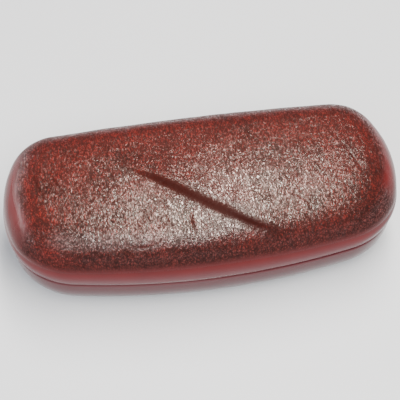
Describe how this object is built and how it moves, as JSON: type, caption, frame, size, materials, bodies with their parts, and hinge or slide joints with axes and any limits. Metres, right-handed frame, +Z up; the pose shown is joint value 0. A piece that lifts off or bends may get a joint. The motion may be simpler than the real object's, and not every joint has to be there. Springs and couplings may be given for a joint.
{
  "type": "eyeglasses case",
  "caption": "Hard clamshell eyeglasses case with a padded leatherette lid, a pressed wave, lined trays and a hidden spring hinge.",
  "frame": {"origin": "centre of the case's box, on the surface that the closed case rests on", "axes": "+X along the case, +Y towards the hinge, -Y towards the opening edge, +Z up through the lid"},
  "size_m": [0.162, 0.0738, 0.048],
  "materials": {
    "leatherette": "semi-gloss oxblood leatherette with an antiqued pebble grain",
    "padding_foam": "thin open-cell foam",
    "shell_steel": "bare pressed sheet",
    "adhesive_felt": "adhesive felt",
    "flocked_tray": "matt flocking",
    "hinge_steel": "plated sheet and wire",
    "rivet_steel": "plated",
    "spring_wire": "oiled spring wire",
    "lining_cloth": "brushed cloth"
  },
  "bodies": {
    "base": {"base_cover": "leatherette", "base_shell": "shell_steel", "base_pad": "adhesive_felt", "base_liner": "flocked_tray", "base_hinge_leaf": "hinge_steel", "base_rivets": "rivet_steel", "hinge_pin": "hinge_steel", "spring_right": "spring_wire", "spring_left": "spring_wire", "spine_strip": "leatherette", "hinge_lining": "lining_cloth"},
    "lid": {"lid_cover": "leatherette", "lid_padding": "padding_foam", "lid_shell": "shell_steel", "lid_pad": "adhesive_felt", "lid_liner": "flocked_tray", "lid_hinge_leaf": "hinge_steel", "lid_rivets": "rivet_steel"}
  },
  "joints": [
    {"name": "lid_hinge", "type": "hinge", "parent": "base", "child": "lid", "pos_m": [0, 0.03455, 0.02], "axis": [-1, 0, 0], "range_deg": [0, 105], "stiffness_Nm_per_rad": 0.02, "springref_deg": -60.16, "deforming": ["spine_strip", "hinge_lining", "spring_right", "spring_left"]}
  ]
}
